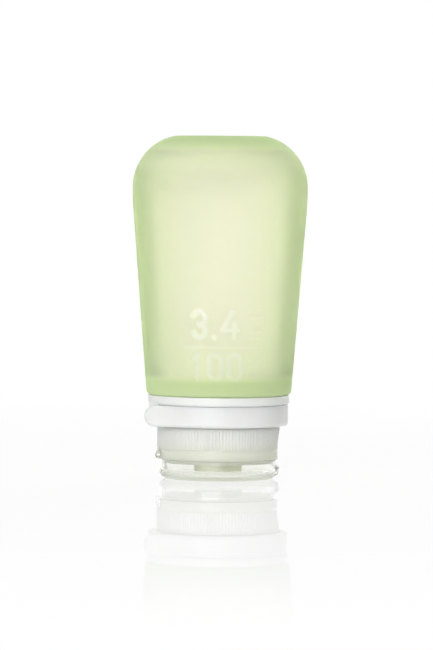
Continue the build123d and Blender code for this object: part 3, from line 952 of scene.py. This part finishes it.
@dataclass
class ScrewThread:
    """Two-start thread ridges, as a Geometry Nodes tree: outside the neck or inside the cap."""

    name: str
    radius: float
    low: float
    body: Body
    finish: Finish
    slot: Slot
    lead: float = 6.4
    turns: float = 0.75
    starts: int = 2
    ridge: float = 0.55
    reference: float = 9.4
    samples: int = 97
    section_points: int = 12
    taper_share: float = 0.08
    tip_share: float = 0.05
    sharp_from: float = 60.0
    half_pitch_on: bool = False

    def start_angle(self) -> float:
        """Give the angle at which the helix has its low end, so that both threads mesh."""
        shift = self.lead / self.starts / 2 if self.half_pitch_on else 0.0
        return 2 * math.pi * (self.low - self.reference - shift) / self.lead

    def helix(
        self, tree: bpy.types.NodeTree, given: bpy.types.NodeOutputs
    ) -> tuple[bpy.types.NodeSocket, bpy.types.NodeSocket]:
        """Build the curve that a ridge follows.

        Args:
            tree: The node tree.
            given: The tree's inputs.

        Returns:
            The curve, and how far along it each of its points is, from 0 to 1.
        """
        line = add_node(tree, "GeometryNodeCurvePrimitiveLine")
        cut = add_node(
            tree, "GeometryNodeResampleCurve", inputs={"Count": self.samples},
            links={"Curve": line.outputs["Curve"]},
        )
        along = add_node(tree, "GeometryNodeSplineParameter").outputs["Factor"]
        turn = add_node(
            tree, "ShaderNodeMath", {"operation": "MULTIPLY"}, links={0: along, 1: given["Turns"]}
        ).outputs[0]
        angle = add_node(
            tree, "ShaderNodeMath", {"operation": "MULTIPLY_ADD"}, {1: 2 * math.pi},
            {0: turn, 2: given["Start angle"]},
        ).outputs[0]
        height = add_node(
            tree, "ShaderNodeMath", {"operation": "MULTIPLY_ADD"},
            links={0: turn, 1: given["Lead"], 2: given["Low end"]},
        ).outputs[0]
        sides: dict[str, bpy.types.NodeSocket] = {}
        for axis, operation in (("X", "COSINE"), ("Y", "SINE")):
            wave = add_node(tree, "ShaderNodeMath", {"operation": operation}, links={0: angle}).outputs[0]
            sides[axis] = add_node(
                tree, "ShaderNodeMath", {"operation": "MULTIPLY"}, links={0: wave, 1: given["Radius"]}
            ).outputs[0]
        place = add_node(tree, "ShaderNodeCombineXYZ", links=sides | {"Z": height})
        bent = add_node(
            tree, "GeometryNodeSetPosition",
            links={"Geometry": cut.outputs["Curve"], "Position": place.outputs["Vector"]},
        )
        return bent.outputs["Geometry"], along

    def sweep(self, tree: bpy.types.NodeTree, given: bpy.types.NodeOutputs) -> bpy.types.NodeSocket:
        """Sweep the ridge's round section along the helix, thinner towards both ends.

        Args:
            tree: The node tree.
            given: The tree's inputs.

        Returns:
            The mesh of one ridge.
        """
        helix, along = self.helix(tree, given)
        left = add_node(
            tree, "ShaderNodeMath", {"operation": "SUBTRACT"}, {0: 1.0}, {1: along}
        ).outputs[0]
        end = add_node(
            tree, "ShaderNodeMath", {"operation": "MINIMUM"}, links={0: along, 1: left}
        ).outputs[0]
        swell = add_node(
            tree, "ShaderNodeMapRange", {"interpolation_type": "SMOOTHSTEP"},
            {"From Min": 0.0, "From Max": self.taper_share, "To Min": self.tip_share, "To Max": 1.0},
            {"Value": end},
        )
        section = add_node(
            tree, "GeometryNodeCurvePrimitiveCircle", inputs={"Resolution": self.section_points},
            links={"Radius": given["Ridge"]},
        )
        swept = add_node(
            tree, "GeometryNodeCurveToMesh", inputs={"Fill Caps": True},
            links={
                "Curve": helix, "Profile Curve": section.outputs["Curve"],
                "Scale": swell.outputs["Result"],
            },
        )
        return swept.outputs["Mesh"]

    def repeat(
        self, tree: bpy.types.NodeTree, given: bpy.types.NodeOutputs, ridge: bpy.types.NodeSocket
    ) -> bpy.types.NodeSocket:
        """Repeat the ridge about the axis, once for each start.

        Args:
            tree: The node tree.
            given: The tree's inputs.
            ridge: The mesh of one ridge.

        Returns:
            The instances.
        """
        spots = add_node(tree, "GeometryNodePoints", links={"Count": given["Starts"]})
        number = add_node(tree, "GeometryNodeInputIndex").outputs["Index"]
        whole = add_node(
            tree, "ShaderNodeMath", {"operation": "MULTIPLY"}, {1: 2 * math.pi}, {0: number}
        ).outputs[0]
        share = add_node(
            tree, "ShaderNodeMath", {"operation": "DIVIDE"}, links={0: whole, 1: given["Starts"]}
        ).outputs[0]
        facing = add_node(tree, "ShaderNodeCombineXYZ", links={"Z": share})
        copies = add_node(
            tree, "GeometryNodeInstanceOnPoints",
            links={
                "Points": spots.outputs[0], "Instance": ridge, "Rotation": facing.outputs["Vector"],
            },
        )
        return copies.outputs["Instances"]

    def tree(self) -> bpy.types.NodeTree:
        """Build the tree: a helix, tapered at its ends, swept and repeated for each start.

        Returns:
            The node tree.
        """
        tree = bpy.data.node_groups.new(self.name + "_helix", "GeometryNodeTree")
        kinds = dict.fromkeys(
            ("Radius", "Lead", "Turns", "Low end", "Start angle", "Ridge"), "NodeSocketFloat"
        )
        kinds |= {"Starts": "NodeSocketInt", "Finish": "NodeSocketMaterial"}
        for title, kind in kinds.items():
            tree.interface.new_socket(title, in_out="INPUT", socket_type=kind)
        tree.interface.new_socket("Geometry", in_out="OUTPUT", socket_type="NodeSocketGeometry")
        given = add_node(tree, "NodeGroupInput").outputs
        copies = self.repeat(tree, given, self.sweep(tree, given))
        real = add_node(tree, "GeometryNodeRealizeInstances", links={"Geometry": copies})
        dressed = add_node(
            tree, "GeometryNodeSetMaterial",
            links={"Geometry": real.outputs["Geometry"], "Material": given["Finish"]},
        )
        add_node(tree, "NodeGroupOutput", links={"Geometry": dressed.outputs["Geometry"]})
        return tree

    def build(self) -> bpy.types.Object:
        """Run the tree and keep its result as a plain mesh on its body.

        Returns:
            The piece.
        """
        carrier = bpy.data.objects.new(self.name + "_maker", bpy.data.meshes.new(self.name + "_maker"))
        bpy.context.scene.collection.objects.link(carrier)
        maker = carrier.modifiers.new("thread", "NODES")
        maker.node_group = self.tree()
        values = {
            "Radius": self.radius * MM, "Lead": self.lead * MM, "Turns": self.turns,
            "Low end": self.low * MM, "Start angle": self.start_angle(), "Ridge": self.ridge * MM,
            "Starts": self.starts, "Finish": self.finish.make(),
        }
        for item in maker.node_group.interface.items_tree:
            if item.in_out == "INPUT":
                maker[item.identifier] = values[item.name]
        graph = bpy.context.evaluated_depsgraph_get()
        mesh = bpy.data.meshes.new_from_object(carrier.evaluated_get(graph))
        bpy.data.objects.remove(carrier)
        mesh.name = self.name
        mesh.shade_smooth()
        mesh.set_sharp_from_angle(angle=math.radians(self.sharp_from))
        piece = bpy.data.objects.new(self.name, mesh)
        bpy.context.scene.collection.objects.link(piece)
        dress(piece, self.finish, self.body, self.slot)
        return piece


@dataclass
class NeckSeal:
    """The soft washer between the neck and the cap, with its plug in the neck."""

    rim_radius: float = 15.6
    plug_radius: float = 10.6
    bore_radius: float = 9.5
    low: float = 6.8
    thickness: float = 1.0
    plug_top: float = 10.3
    edge: float = 0.25
    edge_steps: int = 4
    columns: int = 96

    def build(self) -> bpy.types.Object:
        """Make the washer.

        Returns:
            The piece.
        """
        top = self.low + self.thickness
        corners = [
            (self.bore_radius, self.low), (self.rim_radius, self.low), (self.rim_radius, top),
            (self.plug_radius, top), (self.plug_radius, self.plug_top), (self.bore_radius, self.plug_top),
        ]
        outline: list[Point] = []
        for i, corner in enumerate(corners):
            after = corners[(i + 1) % len(corners)]
            outline += rounded(corners[i - 1], corner, after, self.edge, self.edge_steps)
        vertices, faces = turned(outline + outline[:1], ring_of(self.columns))
        piece = mesh_piece("neck_washer", vertices, faces)
        dress(piece, SOFT_SILICONE, Body.SEAL, Slot.CLEAR_SILICONE, "neck_seal")
        return piece


@dataclass
class SlitValve:
    """The soft disc in the spout: a thick rim and a thin bowl cut by a crossed slit."""

    rim_radius: float = 4.95
    rim_low: float = 3.45
    rim_thickness: float = 0.8
    rim_bore: float = 3.2
    bowl_rise: float = 0.6
    bowl_thickness: float = 0.45
    slit_length: float = 4.2
    slit_width: float = 0.12
    edge: float = 0.12
    tip_radius: float = 0.08
    bowl_steps: int = 16
    quarter_steps: int = 20
    rim_slopes: Point = (0.3, 0.15)

    def section(self) -> tuple[list[Point], list[Point]]:
        """List the radii and heights of the under side and the upper side, from the middle out.

        Returns:
            The under side and the upper side, with as many points each.
        """
        under: list[Point] = []
        upper: list[Point] = []
        for i in range(self.bowl_steps + 1):
            r = self.tip_radius + (self.rim_bore - self.tip_radius) * i / self.bowl_steps
            rise = self.bowl_rise * (1 - (r / self.rim_bore) ** 2)
            middle = self.rim_low + rise
            under.append((r, middle))
            upper.append((r, middle + self.bowl_thickness))
        top = self.rim_low + self.rim_thickness
        low_slope, top_slope = self.rim_slopes
        under += [(self.rim_bore + low_slope, self.rim_low), (self.rim_radius - self.edge, self.rim_low)]
        upper += [(self.rim_bore + top_slope, top), (self.rim_radius - self.edge, top)]
        under.append((self.rim_radius, self.rim_low + self.edge))
        upper.append((self.rim_radius, top - self.edge))
        return under, upper

    def build(self) -> bpy.types.Object:
        """Make the four petals and the rim that joins them.

        Returns:
            The piece.
        """
        under, upper = self.section()
        vertices: list[tuple] = []
        faces: list[tuple] = []
        steps = self.quarter_steps
        for quarter in range(4):
            base = len(vertices)
            for side in (under, upper):
                for r, z in side:
                    open_here = r < self.slit_length / 2
                    trim = math.asin(self.slit_width / 2 / r) if open_here else 0.0
                    for i in range(steps + 1):
                        a = quarter * math.pi / 2 + trim + (math.pi / 2 - 2 * trim) * i / steps
                        vertices.append((r * math.cos(a), r * math.sin(a), z))
            rows, wide = len(under), steps + 1
            top = base + rows * wide
            for row in range(rows - 1):
                for i in range(steps):
                    a = base + row * wide + i
                    b = top + row * wide + i
                    faces.append((a, a + 1, a + wide + 1, a + wide))
                    faces.append((b, b + wide, b + wide + 1, b + 1))
                if under[row][0] < self.slit_length / 2:
                    for i in (0, steps):
                        a = base + row * wide + i
                        b = top + row * wide + i
                        faces.append((a, a + wide, b + wide, b))
            for i in range(steps):
                a, b = base + i, top + i
                faces.append((a, b, b + 1, a + 1))
                a, b = base + (rows - 1) * wide + i, top + (rows - 1) * wide + i
                faces.append((a, a + 1, b + 1, b))
        piece = mesh_piece("valve_disc", vertices, faces)
        dress(piece, SOFT_SILICONE, Body.CAP, Slot.CLEAR_SILICONE, "dispensing_valve")
        return piece


@dataclass
class PlasticParts:
    """The moulded and turned pieces whose CAD shape is shown as it is."""

    finishes: dict[str, Finish] = field(default_factory=lambda: {
        "screw_cap": FROSTED, "valve_retainer": FROSTED, "neck_insert": FROSTED,
        "neck_collar": COLLAR_WHITE, "carry_loop": WHITE, "flip_lid": CLEAR, "loop_pin": STEEL,
    })

    def build(self) -> None:
        """Put each finish on its CAD node."""
        for node, finish in self.finishes.items():
            refinish(node, finish)


@dataclass(frozen=True)
class Softbox:
    """A soft square lamp that faces the bottle, in millimetres and watts."""

    name: str
    place: tuple[float, float, float]
    size: float
    power: float
    aim_height: float = 50.0

    def hang(self) -> None:
        """Put the lamp up."""
        data = bpy.data.lights.new(self.name, "AREA")
        data.energy = self.power
        data.size = self.size * MM
        lamp = bpy.data.objects.new(self.name, data)
        spot = Vector(self.place) * MM
        aim = (Vector((0, 0, self.aim_height)) * MM - spot).to_track_quat("-Z", "Y")
        lamp.matrix_world = Matrix.Translation(spot) @ aim.to_matrix().to_4x4()
        bpy.context.scene.collection.objects.link(lamp)


@dataclass
class Studio:
    """White floor with a soft reflection, white surroundings, soft lamps and the camera."""

    distance: float = 1242.0
    height: float = 91.2
    aside: float = -0.83
    pitch: float = 2.072
    roll: float = 0.42
    lens: float = 227.85
    sensor_width: float = 36.0
    view_reach: float = 200000.0
    surround_left: float = 0.44
    surround_right: float = 0.41
    floor_half: float = 12000.0
    floor_tone: str = "FAFAF8"
    glow_near: float = 0.9
    glow_far_from: float = 150.0
    glow_far: float = 450.0
    gloss_full: float = 80.0
    gloss_end: float = 440.0
    gloss_share: float = 0.5
    gloss_ior: float = 1.49
    gloss_roughness: float = 0.008
    lamps: tuple[Softbox, ...] = (
        Softbox("front softbox", (-330, -1260, 300), 900, 12.6),
        Softbox("back softbox", (420, 900, 450), 600, 4.5),
    )

    def camera(self) -> None:
        """Put the camera where the photograph was taken from."""
        data = bpy.data.cameras.new("camera")
        data.sensor_width = self.sensor_width
        data.lens = self.lens
        data.clip_end = self.view_reach * MM
        rig = bpy.data.objects.new("camera", data)
        tilt = Matrix.Rotation(math.radians(90 - self.pitch), 4, "X")
        lean = Matrix.Rotation(math.radians(self.roll), 4, "Z")
        spot = Vector((self.aside, -self.distance, self.height)) * MM
        rig.matrix_world = Matrix.Translation(spot) @ tilt @ lean
        bpy.context.scene.collection.objects.link(rig)
        bpy.context.scene.camera = rig

    def view_rays(self, tree: bpy.types.NodeTree) -> bpy.types.NodeSocket:
        """Give 1 for camera, glossy and transmitted rays and 0 for the light on the object.

        Args:
            tree: The node tree that needs it.

        Returns:
            The socket.
        """
        path = add_node(tree, "ShaderNodeLightPath").outputs
        first = add_node(
            tree, "ShaderNodeMath", {"operation": "MAXIMUM"},
            links={0: path["Is Camera Ray"], 1: path["Is Glossy Ray"]},
        )
        both = add_node(
            tree, "ShaderNodeMath", {"operation": "MAXIMUM"},
            links={0: first.outputs[0], 1: path["Is Transmission Ray"]},
        )
        return both.outputs[0]

    def world(self) -> None:
        """Surround the object with white that lights it at a plain level."""
        world = bpy.data.worlds.new("white studio")
        bpy.context.scene.world = world
        world.use_nodes = True
        tree = world.node_tree
        tree.nodes.clear()
        facing = add_node(tree, "ShaderNodeTexCoord")
        sides = add_node(tree, "ShaderNodeSeparateXYZ", links={"Vector": facing.outputs["Generated"]})
        slope = add_node(
            tree, "ShaderNodeMapRange",
            inputs={"From Min": -1.0, "To Min": self.surround_left, "To Max": self.surround_right},
            links={"Value": sides.outputs["X"]},
        )
        level = add_node(
            tree, "ShaderNodeMix", {"data_type": "FLOAT"}, {SECOND: 1.0},
            {FACTOR: self.view_rays(tree), FIRST: slope.outputs["Result"]},
        )
        back = add_node(
            tree, "ShaderNodeBackground", inputs={"Color": (1, 1, 1, 1)},
            links={"Strength": level.outputs[MIXED]},
        )
        add_node(tree, "ShaderNodeOutputWorld", links={"Surface": back.outputs["Background"]})

    def floor_material(self) -> bpy.types.Material:
        """Build the floor's material: white, with a gloss that fades away from the object.

        Returns:
            The material.
        """
        material = bpy.data.materials.new("white acrylic sheet")
        material.use_nodes = True
        tree = material.node_tree
        tree.nodes.clear()
        lit = add_node(tree, "ShaderNodeBsdfDiffuse", inputs={"Color": linear(self.floor_tone)})
        glow = add_node(tree, "ShaderNodeEmission", inputs={"Color": (1, 1, 1, 1), "Strength": 1.0})
        place = add_node(tree, "ShaderNodeTexCoord")
        away = add_node(
            tree, "ShaderNodeVectorMath", {"operation": "LENGTH"}, links={0: place.outputs["Object"]}
        )
        share = add_node(
            tree, "ShaderNodeMapRange",
            inputs={
                "From Min": self.glow_far_from * MM, "From Max": self.glow_far * MM,
                "To Min": self.glow_near, "To Max": 1.0,
            },
            links={"Value": away.outputs["Value"]},
        )
        seen = add_node(
            tree, "ShaderNodeMath", {"operation": "MULTIPLY"},
            links={0: self.view_rays(tree), 1: share.outputs["Result"]},
        )
        base = add_node(
            tree, "ShaderNodeMixShader",
            links={0: seen.outputs[0], 1: lit.outputs["BSDF"], 2: glow.outputs["Emission"]},
        )
        fade = add_node(
            tree, "ShaderNodeMapRange", {"interpolation_type": "SMOOTHSTEP"},
            {
                "From Min": self.gloss_full * MM, "From Max": self.gloss_end * MM,
                "To Min": self.gloss_share, "To Max": 0.0,
            },
            {"Value": away.outputs["Value"]},
        )
        grazing = add_node(tree, "ShaderNodeFresnel", inputs={"IOR": self.gloss_ior})
        amount = add_node(
            tree, "ShaderNodeMath", {"operation": "MULTIPLY"},
            links={0: grazing.outputs["Fac"], 1: fade.outputs["Result"]},
        )
        mirror = add_node(
            tree, "ShaderNodeBsdfGlossy",
            inputs={"Color": (1, 1, 1, 1), "Roughness": self.gloss_roughness},
        )
        top = add_node(
            tree, "ShaderNodeMixShader",
            links={0: amount.outputs[0], 1: base.outputs["Shader"], 2: mirror.outputs["BSDF"]},
        )
        add_node(tree, "ShaderNodeOutputMaterial", links={"Surface": top.outputs["Shader"]})
        return material

    def floor(self) -> None:
        """Lay the floor under the object."""
        h = self.floor_half * MM
        mesh = bpy.data.meshes.new("floor")
        mesh.from_pydata([(-h, -h, 0), (h, -h, 0), (h, h, 0), (-h, h, 0)], [], [(0, 1, 2, 3)])
        mesh.materials.append(self.floor_material())
        floor = bpy.data.objects.new("floor", mesh)
        bpy.context.scene.collection.objects.link(floor)

    def build(self) -> None:
        """Set up the floor, the surroundings, the lamps and the camera."""
        self.camera()
        self.world()
        self.floor()
        for lamp in self.lamps:
            lamp.hang()
        bpy.context.scene.view_settings.view_transform = "Standard"
        log.info("studio: camera %.0f mm away", self.distance)


def main() -> None:
    """Build the studio, then the bottle from its body down to its lid."""
    logging.basicConfig(level=logging.INFO, format="%(message)s")
    Studio().build()
    SiliconeBulb().build()
    ScrewThread(
        "neck_thread", radius=15.3, low=9.4, body=Body.BOTTLE, finish=COLLAR_WHITE, slot=Slot.WHITE_PLASTIC
    ).build()
    ScrewThread(
        "cap_thread", radius=16.1, low=8.7, body=Body.CAP, finish=FROSTED, slot=Slot.FROSTED_PLASTIC,
        half_pitch_on=True,
    ).build()
    NeckSeal().build()
    SlitValve().build()
    PlasticParts().build()


if __name__ == "__main__":
    main()
